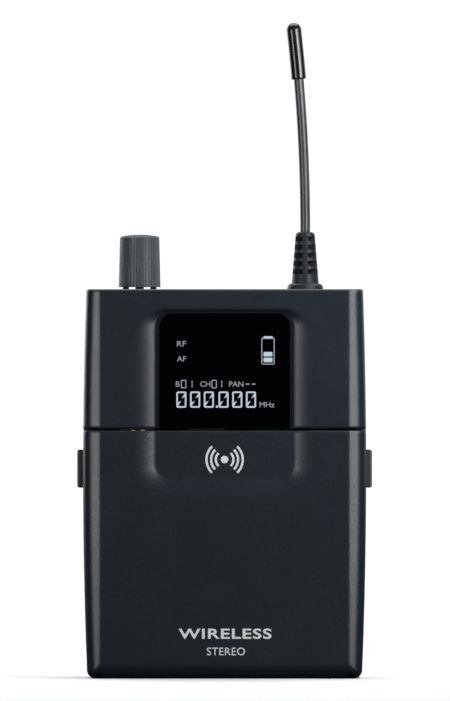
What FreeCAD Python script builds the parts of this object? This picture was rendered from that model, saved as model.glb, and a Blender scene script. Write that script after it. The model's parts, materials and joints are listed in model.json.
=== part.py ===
"""Wireless bodypack: a belt-worn audio unit with display, volume knob, whip antenna and
a hinged battery door.

Millimetres. +Z is up, -Y is the front, +X is to the right seen from the front. The origin is
the centre of the flat bottom face. Every sub-part is an object of the document, and its sizes
are bound to the sheet of driving dimensions.
"""
import FreeCAD, Part

import math
import os
import re

import Sketcher

DIMENSIONS = {
    # Shared: how far a tool runs past the face it cuts, how far a fused shape is sunk into
    # its neighbour, the play between fixed parts and that of a turning fit
    "overrun": 1.0,
    "sink": 0.2,
    "play": 0.1,
    "running_gap": 0.05,
    # Housing
    "body_width": 64.0,
    "base_width": 62.1,
    "top_width": 62.6,
    "body_height": 88.0,
    "body_depth": 24.0,
    "crease_x": 28.2,
    "crease_slope": 0.34,
    "front_round": 2.9,
    "back_round": 3.0,
    "base_rim": 2.0,
    "top_rim": 0.5,
    "cavity_width": 58.8,
    "front_wall": 2.6,
    "display_wall": 3.2,
    "back_wall": 1.6,
    "end_wall": 2.0,
    "bulkhead": 1.5,
    "split_y": -1.0,
    "seam_z": 56.5,
    "seam_gap": 0.5,
    "split_gap": 0.3,
    # Display recess and window
    "recess_depth": 0.9,
    "recess_half": 15.7,
    "recess_top": 83.1,
    "recess_bottom": 45.0,
    "recess_corner": 3.6,
    "scoop_side": 5.6,
    "scoop_top": 0.3,
    "scoop_bottom": 4.0,
    "lens_half": 14.74,
    "lens_top": 82.5,
    "lens_corner": 3.0,
    "lens_thick": 1.0,
    "view_half": 13.2,
    "view_low": 59.5,
    "view_high": 81.0,
    "view_border": 1.2,
    "gasket_thick": 0.4,
    "module_thick": 2.4,
    "ribbon_width": 10.0,
    "ribbon_thick": 0.3,
    "ribbon_z": 65.0,
    # Battery door, its hinge and its latches
    "roll_radius": 3.5,
    "roll_wall": 1.6,
    "roll_gap": 0.25,
    "lip_end": -5.5,
    "lip_gap": 0.3,
    "door_rim": 1.5,
    "door_rim_reach": 2.4,
    "cheek_inner": 28.0,
    "cheek_outer": 29.0,
    "cheek_radius": 2.0,
    "cheek_gap": 0.2,
    "cheek_foot": 1.0,
    "pin_radius": 1.0,
    "pin_reach": 30.4,
    "pad_thick": 4.0,
    "pad_low": 20.0,
    "pad_high": 36.0,
    "latch_low": 43.1,
    "latch_high": 51.7,
    "latch_front": -7.1,
    "latch_back": -2.9,
    "latch_reach": 33.33,
    "latch_gap": 0.15,
    "latch_flange": 1.2,
    "latch_lip": 0.9,
    "latch_round": 0.5,
    "latch_seat": 1.2,
    "grip_radius": 0.3,
    "grip_pitch": 1.0,
    "grip_count": 5.0,
    "grip_inset": 0.7,
    "hook_thick": 0.7,
    "hook_inset": 2.8,
    "hook_back": 0.4,
    "latch_spring_radius": 1.3,
    "latch_wire": 0.22,
    "spring_seat": 24.4,
    "spring_seat_thick": 1.0,
    "spring_seat_back": -4.0,
    "spring_seat_inset": 0.6,
    # Cells, tray and contacts
    "cell_radius": 7.25,
    "cell_length": 49.5,
    "cell_nub_radius": 2.7,
    "cell_nub": 1.0,
    "cell_left_x": -19.6,
    "cell_right_x": -4.1,
    "cell_y": 2.4,
    "cell_low": 4.6,
    "tray_gap": 0.2,
    "tray_front": 1.0,
    "tray_left": -28.6,
    "tray_right": 4.2,
    "contact_half": 4.0,
    "contact_thick": 0.4,
    "contact_boss": 3.4,
    "contact_coil": 3.0,
    "contact_wire": 0.25,
    # Controls under the door
    "panel_left": 4.6,
    "panel_right": 23.0,
    "panel_low": 6.0,
    "panel_high": 54.0,
    "panel_front": -4.0,
    "panel_thick": 1.4,
    "panel_leg": 1.2,
    "button_radius": 2.2,
    "button_rise": 0.9,
    "button_flange": 2.8,
    "button_flange_thick": 0.6,
    "button_travel": 0.4,
    "button_x": 13.8,
    "button_low": 14.0,
    "button_pitch": 10.0,
    "stem_radius": 1.0,
    "switch_size": 5.0,
    "switch_front": -0.7,
    "button_board_y": 1.0,
    "button_board_inset": 1.0,
    "connector_left": 9.0,
    "connector_right": 20.0,
    "connector_low": 34.0,
    "connector_high": 37.0,
    "board_thick": 1.0,
    # Main board and what is on it
    "board_y": 7.0,
    "board_half": 28.4,
    "board_top": 85.0,
    "board_low": 58.6,
    "leg_gap": 0.4,
    "leg_low": 30.0,
    "leg_left": 6.0,
    "leg_right": 23.0,
    "post_x": 25.0,
    "post_low": 62.0,
    "post_high": 76.0,
    "post_radius": 2.6,
    "screw_radius": 0.85,
    "screw_hole": 1.1,
    "screw_head": 1.9,
    "head_hole": 2.1,
    "head_depth": 1.4,
    "head_thick": 1.2,
    "case_screw_reach": 5.0,
    "board_screw_z": 69.0,
    "board_screw_reach": 3.6,
    "board_screw_depth": 4.0,
    "shield_left": 5.0,
    "shield_right": 21.0,
    "shield_low": 59.4,
    "shield_high": 70.4,
    "shield_rise": 3.2,
    "shield_sheet": 0.3,
    "chip_rise": 1.4,
    # Top panel controls, all on one line
    "control_y": 3.4,
    "knob_x": -19.27,
    "knob_base_radius": 4.74,
    "knob_top_radius": 4.47,
    "knob_low": 88.5,
    "knob_shoulder": 99.7,
    "knob_top": 100.4,
    "rib_count": 40.0,
    "rib_depth": 0.12,
    "rib_share": 0.4,
    "shaft_radius": 0.95,
    "shaft_top": 96.8,
    "skirt_radius": 4.15,
    "skirt_depth": 0.9,
    "control_half": 5.2,
    "control_front": -0.6,
    "control_drop": 7.6,
    "well_drop": 6.5,
    "collar_radius": 4.2,
    "lug_inner": 2.6,
    "lug_outer": 3.85,
    "lug_width": 1.9,
    "lug_reach": 0.35,
    "jack_radius": 1.8,
    "jack_outer": 3.4,
    "jack_depth": 14.0,
    "socket_half": 4.4,
    "socket_floor": 1.4,
    # Antenna
    "antenna_x": 18.27,
    "flange_radius": 4.12,
    "flange_rise": 1.3,
    "boot_base_radius": 3.08,
    "boot_top_radius": 2.2,
    "boot_top": 101.0,
    "boot_step": 0.3,
    "boot_crown": 0.8,
    "boot_crown_inset": 0.75,
    "slot_rise": 1.1,
    "slot_pitch": 1.85,
    "slot_low": 92.0,
    "slot_core": 1.25,
    "web_width": 0.9,
    "spigot_radius": 0.9,
    "spigot_drop": 3.0,
    "base_drop": 8.0,
    "base_collar": 3.3,
    "base_collar_thick": 1.8,
    "antenna_clip_half": 1.0,
    "antenna_clip_thick": 2.6,
    "whip_radius": 1.14,
    "whip_bend": 407.0,
    "pivot_z": 101.2,
    "whip_end": 146.5,
    "tip_radius": 1.7,
    "cup_gap": 0.08,
    "tip_crown": 1.62,
    "tip_lip": 0.35,
    "tip_low": 135.7,
    "tip_high": 148.5,
    # Belt clip
    "clip_wire": 1.0,
    "clip_z": 70.0,
    "clip_y": 14.2,
    "clip_half": 23.0,
    "clip_stand": 18.6,
    "clip_straight_high": 65.0,
    "clip_straight_low": 30.0,
    "clip_touch_y": 13.8,
    "clip_touch_z": 20.0,
    "clip_flare_y": 16.8,
    "clip_flare_z": 13.5,
    "lug_near": 16.0,
    "lug_far": 20.8,
    "clip_bend": 2.0,
    "clip_lug_radius": 2.5,
}

NEAR = 0.01

DOC = FreeCAD.newDocument("WirelessBodypack")
SHEET = DOC.addObject("Spreadsheet::Sheet", "Dimensions")
PIECES = []


def fill_sheet():
    """Write each driving dimension and its alias on a row of its own."""
    for row, (alias, number) in enumerate(DIMENSIONS.items(), start=1):
        SHEET.set("A%d" % row, alias)
        SHEET.set("B%d" % row, str(number))
        SHEET.setAlias("B%d" % row, alias)
    DOC.recompute()


def size(alias):
    """Read a driving dimension for a shape that is worked out in code."""
    return float(SHEET.get(alias))


def formula(text):
    """Spell a formula of aliases the way the document's expressions name them."""
    return re.sub(r"[a-z][a-z_]*", lambda word: "Dimensions." + word.group(0), str(text))


def bind(item, prop, text):
    """Bind one property to a formula of driving dimensions."""
    item.setExpression(prop, formula(text))


def keep(item, label):
    """Name an object as a finished sub-part."""
    item.Label = label
    PIECES.append(item)
    return item


# Primitives and booleans


def box(x, y, z):
    """A block between (low, high) formulas along each axis."""
    block = DOC.addObject("Part::Box", "block")
    for side, base, (low, high) in (("Length", "x", x), ("Width", "y", y), ("Height", "z", z)):
        bind(block, side, "(%s) - (%s)" % (high, low))
        bind(block, "Placement.Base." + base, low)
    return block


TURNS = {
    "x": FreeCAD.Rotation(FreeCAD.Vector(0, 1, 0), 90),
    "y": FreeCAD.Rotation(FreeCAD.Vector(1, 0, 0), -90),
    "z": FreeCAD.Rotation(),
}


def place(item, along, start, across):
    """Stand a round primitive on its axis: across holds its other two coordinates in order."""
    item.Placement = FreeCAD.Placement(FreeCAD.Vector(), TURNS[along])
    others = [axis for axis in "xyz" if axis != along]
    bind(item, "Placement.Base." + along, start)
    bind(item, "Placement.Base." + others[0], across[0])
    bind(item, "Placement.Base." + others[1], across[1])


def rod(radius, along, span, across):
    """A cylinder along one axis, between the two formulas of span."""
    cylinder = DOC.addObject("Part::Cylinder", "rod")
    bind(cylinder, "Radius", radius)
    bind(cylinder, "Height", "(%s) - (%s)" % (span[1], span[0]))
    place(cylinder, along, span[0], across)
    return cylinder


def taper(low_radius, high_radius, along, span, across):
    """A cone frustum along one axis."""
    cone = DOC.addObject("Part::Cone", "taper")
    bind(cone, "Radius1", low_radius)
    bind(cone, "Radius2", high_radius)
    bind(cone, "Height", "(%s) - (%s)" % (span[1], span[0]))
    place(cone, along, span[0], across)
    return cone


def ball(radius, x, y, z):
    """A sphere with its centre at three formulas."""
    sphere = DOC.addObject("Part::Sphere", "ball")
    bind(sphere, "Radius", radius)
    place(sphere, "z", z, (x, y))
    return sphere


def fuse(*items):
    """Join objects into one solid."""
    union = DOC.addObject("Part::MultiFuse", "union")
    union.Shapes = list(items)
    union.Refine = True
    return union


def group(*items):
    """Hold separate solids of one sub-part together."""
    compound = DOC.addObject("Part::Compound", "group")
    compound.Links = list(items)
    return compound


def cut(base, *tools):
    """Take one or more tools out of a base."""
    difference = DOC.addObject("Part::Cut", "difference")
    difference.Base = base
    difference.Tool = tools[0] if len(tools) == 1 else fuse(*tools)
    difference.Refine = True
    return difference


def overlap(first, second):
    """Keep what two objects share."""
    shared = DOC.addObject("Part::Common", "shared")
    shared.Base = first
    shared.Tool = second
    shared.Refine = True
    return shared


def plain(shape, label):
    """A sub-part whose shape is worked out in code."""
    item = DOC.addObject("Part::Feature", label)
    item.Shape = shape
    return item


# Sketched bodies


PLANES = {"z": "XY_Plane", "y": "XZ_Plane", "x": "YZ_Plane"}


def sketch_on(body, axis, offset):
    """A sketch square to one axis; offset is measured along the plane's own normal."""
    sketch = body.newObject("Sketcher::SketchObject", "outline")
    planes = {plane.Role: plane for plane in body.Origin.OriginFeatures}
    sketch.AttachmentSupport = (planes[PLANES[axis]], [""])
    sketch.MapMode = "FlatFace"
    bind(sketch, "AttachmentOffset.Base.z", offset)
    return sketch


def pin_point(sketch, edge, end, across, up):
    """Fix one end of an edge at two formulas, measured from the sketch's origin."""
    now = sketch.getPoint(edge, end)
    for kind, text, start in (("DistanceX", across, now.x), ("DistanceY", up, now.y)):
        index = sketch.addConstraint(Sketcher.Constraint(kind, edge, end, start))
        bind(sketch, "Constraints[%d]" % index, text)


def draw_polygon(sketch, corners):
    """Closed straight outline with each corner at a pair of formulas."""
    first = sketch.GeometryCount
    count = len(corners)
    for i in range(count):
        ends = []
        for j in (i, i + 1):
            angle = 2 * math.pi * j / count
            ends.append(FreeCAD.Vector(math.cos(angle), math.sin(angle), 0))
        sketch.addGeometry(Part.LineSegment(ends[0], ends[1]))
    for i, (across, up) in enumerate(corners):
        before = first + (i - 1) % count
        sketch.addConstraint(Sketcher.Constraint("Coincident", before, 2, first + i, 1))
        pin_point(sketch, first + i, 1, across, up)


def draw_circle(sketch, radius, across, up):
    """A full circle with its radius and centre bound."""
    circle = Part.Circle(FreeCAD.Vector(), FreeCAD.Vector(0, 0, 1), 1.0)
    edge = sketch.addGeometry(circle)
    index = sketch.addConstraint(Sketcher.Constraint("Radius", edge, 1.0))
    bind(sketch, "Constraints[%d]" % index, radius)
    pin_point(sketch, edge, 3, across, up)


def pad(body, sketch, length):
    """Extrude a sketch along its plane's normal."""
    feature = body.newObject("PartDesign::Pad", "pad")
    feature.Profile = sketch
    bind(feature, "Length", length)
    sketch.Visibility = False
    return feature


def cut_through(body, sketch, length):
    """Cut a sketch on the XY plane out of a body, upwards."""
    feature = body.newObject("PartDesign::Pocket", "notch")
    feature.Profile = sketch
    feature.Reversed = True
    bind(feature, "Length", length)
    sketch.Visibility = False
    return feature


def prism(axis, span, corners, holes=()):
    """A body of one straight outline, with round holes, between two formulas of an axis."""
    body = DOC.addObject("PartDesign::Body", "prism")
    # The XZ plane looks along -Y, so a body along Y starts from its high side.
    offset = "-(%s)" % span[1] if axis == "y" else span[0]
    sketch = sketch_on(body, axis, offset)
    draw_polygon(sketch, corners)
    for radius, across, up in holes:
        draw_circle(sketch, radius, across, up)
    pad(body, sketch, "(%s) - (%s)" % (span[1], span[0]))
    return body


def round_edges(body, radius, test):
    """Fillet those edges of a body's last feature that pass a test."""
    DOC.recompute()
    base = body.Tip
    names = ["Edge%d" % n for n, edge in enumerate(base.Shape.Edges, start=1) if test(edge)]
    feature = body.newObject("PartDesign::Fillet", "rounding")
    feature.Base = (base, names)
    bind(feature, "Radius", radius)
    return feature


def centre_of(edge):
    """Middle point of an edge."""
    first, last = edge.ParameterRange
    return edge.valueAt((first + last) / 2)


def runs_along(edge, axis):
    """Whether a straight edge lies along an axis."""
    ends = [vertex.Point for vertex in edge.Vertexes]
    if len(ends) < 2:
        return False
    step = ends[1] - ends[0]
    others = [getattr(step, name) for name in "xyz" if name != axis]
    return max(abs(other) for other in others) < NEAR


# Shared formulas


FRONT = "(-body_depth / 2)"
BACK = "(body_depth / 2)"
BACK_INNER = "(body_depth / 2 - back_wall)"
TOP_INNER = "(body_height - end_wall)"
TOP_CUT = (TOP_INNER + " - overrun", "body_height + overrun")
CAVITY = "(cavity_width / 2)"
ACROSS = ("-" + CAVITY, CAVITY)
HALF_WIDE = "(body_width / 2 + overrun)"
WIDE = ("-" + HALF_WIDE, HALF_WIDE)
RECESS_FLOOR = "(-body_depth / 2 + recess_depth)"
HINGE_Y = "(-body_depth / 2 + roll_radius)"
HINGE_AT = (HINGE_Y, "roll_radius")
LATCH_AT = ("((latch_front + latch_back) / 2)", "((latch_low + latch_high) / 2)")
CLIP_AT = ("clip_y", "clip_z")
KNOB_AT = ("knob_x", "control_y")
JACK_AT = ("0", "control_y")
ANTENNA_AT = ("antenna_x", "control_y")
SIDES = ("", "-")


def side_span(span, sign):
    """A stretch of X on the right side, or its mirror on the left."""
    low, high = span
    return ("-(%s)" % high, "-(%s)" % low) if sign else span


def post_spots():
    """The four places, left and right, low and high, where the case is screwed."""
    return [(sign + "post_x", z) for z in ("post_low", "post_high") for sign in SIDES]


def board_screw_spots():
    """The two places where the main board is screwed down."""
    return [(sign + "post_x", "board_screw_z") for sign in SIDES]


# Master forms


def make_case_form():
    """The closed outer form of the housing: bowed sides, a crease down each side of the front
    face, and rounded edges."""
    body = DOC.addObject("PartDesign::Body", "case_form")
    sketch = sketch_on(body, "y", "-body_depth / 2")
    base = size("base_width") / 2
    head = size("top_width") / 2
    top = size("body_height")
    corners = [(-base, 0), (base, 0), (head, top), (-head, top)]
    corners = [FreeCAD.Vector(across, up, 0) for across, up in corners]
    right = FreeCAD.Vector(size("body_width") / 2, top / 2, 0)
    left = FreeCAD.Vector(-right.x, right.y, 0)
    bow = right.x - (base + head) / 2
    sketch.addGeometry(Part.LineSegment(corners[0], corners[1]))
    sketch.addGeometry(Part.Arc(corners[1], right, corners[2]))
    sketch.addGeometry(Part.LineSegment(corners[2], corners[3]))
    sketch.addGeometry(Part.Arc(corners[3], left, corners[0]))
    for edge in range(4):
        ends = ((edge, 2), ((edge + 1) % 4, 1))
        sketch.addConstraint(Sketcher.Constraint("Coincident", *ends[0], *ends[1]))
    pin_point(sketch, 0, 1, "-base_width / 2", "0")
    pin_point(sketch, 0, 2, "base_width / 2", "0")
    pin_point(sketch, 2, 1, "top_width / 2", "body_height")
    pin_point(sketch, 2, 2, "-top_width / 2", "body_height")
    bulge = "(body_width / 2 - (base_width + top_width) / 4)"
    radius = "((body_height / 2) ^ 2 + (%s) ^ 2) / (2 * (%s))" % (bulge, bulge)
    for edge in (1, 3):
        value = ((top / 2) ** 2 + bow ** 2) / (2 * bow)
        index = sketch.addConstraint(Sketcher.Constraint("Radius", edge, value))
        bind(sketch, "Constraints[%d]" % index, radius)
    pad(body, sketch, "body_depth")
    bevels = sketch_on(body, "z", "0")
    far_y = "crease_slope * (%s - crease_x) - body_depth / 2" % HALF_WIDE
    for sign in SIDES:
        draw_polygon(bevels, [
            (sign + "crease_x", FRONT),
            (sign + HALF_WIDE, FRONT),
            (sign + HALF_WIDE, far_y),
        ])
    cut_through(body, bevels, "body_height")
    depth = size("body_depth") / 2

    def is_upright(edge):
        return 1 < centre_of(edge).z < top - 1

    def on_front_corner(edge):
        middle = centre_of(edge)
        return is_upright(edge) and middle.y < 0 and abs(middle.x) > base

    def on_back_corner(edge):
        return is_upright(edge) and abs(centre_of(edge).y - depth) < NEAR

    def on_level(edge, z):
        return abs(centre_of(edge).z - z) < NEAR and edge.BoundBox.ZLength < NEAR

    round_edges(body, "front_round", on_front_corner)
    round_edges(body, "back_round", on_back_corner)
    round_edges(body, "top_rim", lambda edge: on_level(edge, top))
    round_edges(body, "base_rim", lambda edge: on_level(edge, 0))
    return body


def rounded_outline(half, low, high, corner, y):
    """Closed wire of a rectangle with round corners, square to Y."""
    def spot(x, z):
        return FreeCAD.Vector(x, y, z)

    slant = corner * (1 - math.sqrt(0.5))
    edges = []
    turns = ((half, high, -1, -1), (-half, high, 1, -1), (-half, low, 1, 1), (half, low, -1, 1))
    ends = []
    for x, z, step_x, step_z in turns:
        beside = spot(x, z + step_z * corner)
        along = spot(x + step_x * corner, z)
        middle = spot(x + step_x * slant, z + step_z * slant)
        first, last = (beside, along) if step_x == step_z else (along, beside)
        ends.append((first, last))
        edges.append(Part.Arc(first, middle, last).toShape())
    for i, (_, last) in enumerate(ends):
        edges.append(Part.makeLine(last, ends[(i + 1) % 4][0]))
    return Part.Wire(Part.__sortEdges__(edges))


def make_recess_form():
    """The shallow recess round the window: its banks fall away in a rounded curve."""
    side = size("scoop_side")
    deep = size("recess_depth")
    front = -size("body_depth") / 2
    radius = (side ** 2 + deep ** 2) / (2 * deep)
    wires = []
    steps = 8
    for step in range(steps + 1):
        share = step / steps
        reach = share * side
        drop = radius - math.sqrt(radius ** 2 - reach ** 2)
        left = 1 - share
        wires.append(rounded_outline(
            size("recess_half") + side * left,
            size("recess_bottom") - size("scoop_bottom") * left,
            size("recess_top") + size("scoop_top") * left,
            size("recess_corner") + side * left * 0.7,
            front + drop,
        ))
    return plain(Part.makeLoft(wires, True, False), "recess_form")


# Housing


def make_rear_case(case_form):
    """Back half: floor with the hinge cheeks, back wall with posts and clip lugs, top holes."""
    shell = overlap(case_form, fuse(
        box(WIDE, ("split_y", BACK), ("0", "body_height")),
        box(WIDE, ("lip_end + lip_gap", "split_y"), ("0", "roll_radius - lip_gap")),
    ))
    hollow = box(ACROSS, ("lip_end", BACK_INNER), ("end_wall", TOP_INNER))
    roll_way = rod("roll_radius + roll_gap", "x", WIDE, HINGE_AT)
    additions = [cut(shell, hollow, roll_way), make_bulkhead()]
    holes = [
        rod("collar_radius", "z", TOP_CUT, KNOB_AT),
        rod("jack_outer", "z", TOP_CUT, JACK_AT),
        rod("boot_top_radius", "z", TOP_CUT, ANTENNA_AT),
        rod("clip_wire + running_gap", "x", WIDE, CLIP_AT),
    ]
    for spot in post_spots():
        additions.append(rod("post_radius", "y", ("split_y", BACK_INNER + " + sink"), spot))
        holes.append(rod("screw_hole", "y", ("split_y - overrun", BACK), spot))
        holes.append(rod("head_hole", "y", (BACK + " - head_depth", BACK + " + overrun"), spot))
    for spot in board_screw_spots():
        boss = ("board_y + board_thick", BACK_INNER + " + sink")
        additions.append(rod("screw_head", "y", boss, spot))
        holes.append(rod("screw_radius", "y", ("board_y", "board_y + board_screw_depth"), spot))
    for sign in SIDES:
        additions.append(hinge_cheek(sign))
        additions.append(clip_lug(sign))
        bore = side_span(("cheek_inner - overrun", "cheek_outer + overrun"), sign)
        holes.append(rod("pin_radius", "x", bore, HINGE_AT))
    return keep(cut(fuse(*additions), *holes), "rear_case")


def make_bulkhead():
    """Wall between the electronics and the battery bay, slotted for the board's leg."""
    slot = box(("leg_left - leg_gap", "leg_right + leg_gap"),
               ("board_y - leg_gap", "board_y + board_thick + leg_gap"),
               ("seam_z - overrun", "seam_z + bulkhead + overrun"))
    wall = box(ACROSS, ("split_y", BACK_INNER), ("seam_z", "seam_z + bulkhead"))
    return cut(wall, slot)


def hinge_cheek(sign):
    """Ear inside the door's side wall that carries a stub pin."""
    plate = side_span(("cheek_inner", "cheek_outer"), sign)
    foot = side_span(("cheek_inner", CAVITY), sign)
    rise = ("end_wall - sink", "roll_radius + cheek_radius")
    return fuse(
        rod("cheek_radius", "x", plate, HINGE_AT),
        box(plate, (HINGE_Y, "split_y + cheek_foot"), rise),
        box(foot, ("split_y", "split_y + cheek_foot"), rise),
    )


def clip_lug(sign):
    """Eye on the back that holds one end of the belt clip's wire."""
    span = side_span(("lug_near", "lug_far"), sign)
    foot = box(span, (BACK + " - sink", "clip_y"),
               ("clip_z - clip_lug_radius", "clip_z + clip_lug_radius"))
    return fuse(rod("clip_lug_radius", "x", span, CLIP_AT), foot)


def make_front_case(case_form, recess_form):
    """Upper front half with the display recess, window pocket and screw posts."""
    shell = overlap(case_form, box(WIDE, (FRONT, "split_y"), ("seam_z", "body_height")))
    hollow = box(ACROSS, (FRONT + " + display_wall", "split_y + overrun"),
                 ("seam_z + bulkhead", TOP_INNER))
    posts = []
    holes = []
    for spot in post_spots():
        posts.append(rod("post_radius", "y", (FRONT + " + display_wall - sink", "split_y"), spot))
        holes.append(rod("screw_radius", "y", ("split_y - case_screw_reach", "split_y"), spot))
    pocket_back = RECESS_FLOOR + " + lens_thick + play"
    pocket = window_plate((FRONT, pocket_back), "lens_half + play", "seam_z - overrun",
                          "lens_top + play", "lens_corner")
    view = box(("-view_half", "view_half"), (FRONT, "0"), ("view_low", "view_high"))
    body = fuse(cut(shell, hollow), *posts)
    return keep(cut(body, recess_form, pocket, view, *holes), "front_case")


def window_plate(depth, half, low, high, corner):
    """Plate square to Y whose two top corners are round."""
    plate = prism("y", depth, [
        ("-(%s)" % half, low),
        (half, low),
        (half, high),
        ("-(%s)" % half, high),
    ])
    DOC.recompute()
    top = plate.Shape.BoundBox.ZMax

    def is_top_corner(edge):
        return runs_along(edge, "y") and abs(centre_of(edge).z - top) < NEAR

    round_edges(plate, corner, is_top_corner)
    return plate


def make_battery_door(case_form, recess_form):
    """Lower front cover. Its bottom edge is a roll about the hinge, so that it can turn."""
    top = "seam_z - seam_gap"
    inside = FRONT + " + front_wall"
    roll = cut(rod("roll_radius", "x", WIDE, HINGE_AT),
               box(WIDE, ("lip_end", "0"), ("-overrun", "roll_radius")))
    plate = box(WIDE, (FRONT, "split_y - split_gap"), ("roll_radius", top))
    shell = overlap(case_form, fuse(plate, roll))
    hollow = fuse(
        box(ACROSS, (inside, "0"), ("roll_radius", top + " - door_rim")),
        box(ACROSS, (inside + " + door_rim_reach", "0"), ("roll_radius", "seam_z")),
        rod("roll_radius - roll_wall", "x", ACROSS, HINGE_AT),
    )
    additions = [cut(shell, hollow)]
    cuts = [recess_form]
    for sign in SIDES:
        slot = side_span(("cheek_inner - cheek_gap", "cheek_outer + cheek_gap"), sign)
        slot_front = HINGE_Y + " - cheek_radius - cheek_gap"
        slot_top = "roll_radius + cheek_radius + cheek_gap"
        cuts.append(box(slot, (slot_front, "0"), ("-overrun", slot_top)))
        window = side_span((CAVITY + " - overrun", HALF_WIDE), sign)
        cuts.append(box(window, ("latch_front - latch_gap", "latch_back + latch_gap"),
                        ("latch_low - latch_gap", "latch_high + latch_gap")))
        bore = side_span(("cheek_outer", "pin_reach + play"), sign)
        cuts.append(rod("pin_radius + running_gap", "x", bore, HINGE_AT))
        seat = side_span(("spring_seat - spring_seat_thick", "spring_seat"), sign)
        additions.append(box(seat, (inside + " - sink", "spring_seat_back"),
                             ("latch_low + spring_seat_inset", "latch_high - spring_seat_inset")))
    return keep(cut(fuse(*additions), *cuts), "battery_door")


def make_hinge_pins():
    """Two stub pins from the case's cheeks into the door's side walls."""
    pins = [rod("pin_radius", "x", side_span(("cheek_inner", "pin_reach"), sign), HINGE_AT)
            for sign in SIDES]
    return keep(group(*pins), "hinge_pins")


def make_latch(sign, label):
    """Side button: a ridged cap through the door's wall, a flange behind it and a hook arm."""
    inner = CAVITY + " - latch_flange - play"
    outer = CAVITY + " - play"
    cap = prism("x", side_span((CAVITY + " - latch_flange", "latch_reach"), sign), [
        ("latch_front", "latch_low"),
        ("latch_back", "latch_low"),
        ("latch_back", "latch_high"),
        ("latch_front", "latch_high"),
    ])
    reach = size("latch_reach")
    round_edges(cap, "latch_round", lambda edge: abs(abs(centre_of(edge).x) - reach) < NEAR)
    body = fuse(
        cap,
        box(side_span((inner, outer), sign), ("latch_front - latch_lip", "latch_back + latch_lip"),
            ("latch_low - latch_lip", "latch_high + latch_lip")),
        box(side_span((inner, inner + " + hook_thick"), sign), ("latch_back", "hook_back"),
            ("latch_low + hook_inset", "latch_high - hook_inset")),
        rod("latch_spring_radius - latch_wire * 3", "x",
            side_span((inner + " - latch_seat", CAVITY + " - latch_flange"), sign), LATCH_AT),
    )
    face = "-latch_reach" if sign else "latch_reach"
    middle = (size("grip_count") - 1) / 2
    grips = []
    for row in range(int(size("grip_count"))):
        rise = "%s + grip_pitch * %g" % (LATCH_AT[1], row - middle)
        grips.append(rod("grip_radius", "y", ("latch_front + grip_inset", "latch_back - grip_inset"),
                         (face, rise)))
    return keep(cut(body, *grips), label)


def coil(radius, wire, turns, along, span, across):
    """A coil spring of round wire with its turns between the two formulas of span."""
    helix = DOC.addObject("Part::Helix", "helix")
    # Each turn is an edge of its own, so that it becomes a face of its own.
    helix.SegmentLength = 1
    length = "(%s) - (%s) - 2 * (%s)" % (span[1], span[0], wire)
    bind(helix, "Radius", radius)
    bind(helix, "Height", length)
    bind(helix, "Pitch", "(%s) / %s" % (length, turns))
    circle = DOC.addObject("Part::Circle", "wire")
    bind(circle, "Radius", wire)
    bind(circle, "Placement.Base.x", radius)
    circle.Placement = FreeCAD.Placement(circle.Placement.Base,
                                         FreeCAD.Rotation(FreeCAD.Vector(1, 0, 0), 90))
    sweep = DOC.addObject("Part::Sweep", "coil")
    sweep.Sections = [circle]
    sweep.Spine = (helix, [])
    sweep.Solid = True
    sweep.Frenet = True
    place(sweep, along, "(%s) + (%s)" % (span[0], wire), across)
    return sweep


def make_latch_spring(sign, label):
    """Return spring between a latch's flange and its seat on the door."""
    span = side_span(("spring_seat", CAVITY + " - latch_flange - play"), sign)
    spring = coil("latch_spring_radius", "latch_wire", 4, "x", span, LATCH_AT)
    return keep(spring, label)


def make_door_pad():
    """Foam strip inside the door that presses on the cells."""
    pad_back = FRONT + " + front_wall + pad_thick"
    return keep(box(("cell_left_x - 6", "cell_right_x + 6"), (FRONT + " + front_wall", pad_back),
                    ("pad_low", "pad_high")), "door_pad")


# Display


def make_display_lens():
    """Dark window, flush with the recess floor, with round top corners."""
    front = RECESS_FLOOR + " + running_gap"
    lens = window_plate((front, front + " + lens_thick"), "lens_half", "seam_z + play",
                        "lens_top", "lens_corner - play")
    return keep(lens, "display_lens")


def make_display_stack():
    """Foam frame and panel behind the window, and the flat cable to the board."""
    half = "(view_half + view_border)"
    rise = ("view_low - view_border", "view_high + view_border")
    behind = FRONT + " + display_wall"
    module_front = behind + " + gasket_thick"
    module_back = module_front + " + module_thick"
    frame = box(("-" + half, half), (behind, module_front), rise)
    view = box(("-view_half", "view_half"), (FRONT, "0"), ("view_low", "view_high"))
    keep(cut(frame, view), "display_gasket")
    keep(box(("-" + half, half), (module_front, module_back), rise), "display_module")
    middle = "((%s + board_y) / 2)" % module_back
    radius = "((board_y - (%s)) / 2)" % module_back
    width = ("-ribbon_width / 2", "ribbon_width / 2")
    loop = cut(rod(radius, "x", width, (middle, "ribbon_z")),
               rod(radius + " - ribbon_thick", "x", WIDE, (middle, "ribbon_z")))
    lower = box(width, (module_back, "board_y"), ("seam_z", "ribbon_z"))
    keep(overlap(loop, lower), "ribbon_cable")


# Electronics


def make_main_board():
    """L-shaped board: full width above the bulkhead, a leg beside the cells below it."""
    holes = [("post_radius + leg_gap", x, z) for x, z in post_spots()]
    holes += [("screw_hole", x, z) for x, z in board_screw_spots()]
    board = prism("y", ("board_y", "board_y + board_thick"), [
        ("-board_half", "board_low"),
        ("leg_left", "board_low"),
        ("leg_left", "leg_low"),
        ("leg_right", "leg_low"),
        ("leg_right", "board_low"),
        ("board_half", "board_low"),
        ("board_half", "board_top"),
        ("-board_half", "board_top"),
    ], holes)
    return keep(board, "main_board")


def on_board(x, z, rise="chip_rise"):
    """A block on the front of the main board."""
    return box(x, ("board_y - " + rise, "board_y"), z)


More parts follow.
